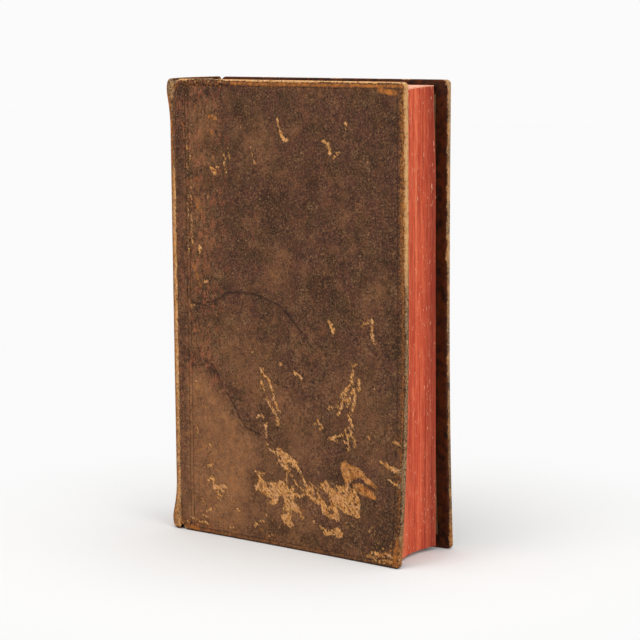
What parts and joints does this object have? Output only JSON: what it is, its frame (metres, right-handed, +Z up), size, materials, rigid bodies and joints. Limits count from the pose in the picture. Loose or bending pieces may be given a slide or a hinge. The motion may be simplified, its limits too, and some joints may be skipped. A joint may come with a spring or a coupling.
{
  "type": "hardback book",
  "caption": "Old full-leather hardback book standing on its tail, with a rounded spine, two hinged covers and red-stained page edges.",
  "frame": {"origin": "centre of the bounding box at the surface that the book stands on", "axes": "+Z up from the tail to the head, +X from the spine to the fore-edge, -Y towards the front cover"},
  "size_m": [0.1298, 0.0433, 0.2],
  "materials": {
    "cover_leather": "brown sheepskin, scuffed to pale tan along the edges and at the foot of the front cover",
    "red_edged_paper": "rag-paper leaves with red-stained edges",
    "endpaper": "plain aged paper",
    "lining_paper": "coarse lining paper",
    "pasteboard": "grey-brown pasteboard",
    "band_thread": "linen thread wound over a core",
    "cord_hemp": "hemp cord"
  },
  "bodies": {
    "root": {"text_block": "red_edged_paper", "spine_lining": "lining_paper", "head_band": "band_thread", "tail_band": "band_thread", "spine_leather": "cover_leather", "sewing_cord_1": "cord_hemp", "sewing_cord_2": "cord_hemp", "sewing_cord_3": "cord_hemp", "sewing_cord_4": "cord_hemp", "sewing_cord_5": "cord_hemp"},
    "front_cover": {"front_board": "pasteboard", "front_slips": "cord_hemp", "front_leather": "cover_leather", "front_pastedown": "endpaper"},
    "back_cover": {"back_board": "pasteboard", "back_slips": "cord_hemp", "back_leather": "cover_leather", "back_pastedown": "endpaper"}
  },
  "joints": [
    {"name": "front_cover_hinge", "type": "hinge", "parent": "root", "child": "front_cover", "pos_m": [-0.05424, -0.016, 0.1], "axis": [0, 0, -1], "range_deg": [0, 175]},
    {"name": "back_cover_hinge", "type": "hinge", "parent": "root", "child": "back_cover", "pos_m": [-0.05424, 0.0188, 0.1], "axis": [0, 0, 1], "range_deg": [0, 175]}
  ]
}
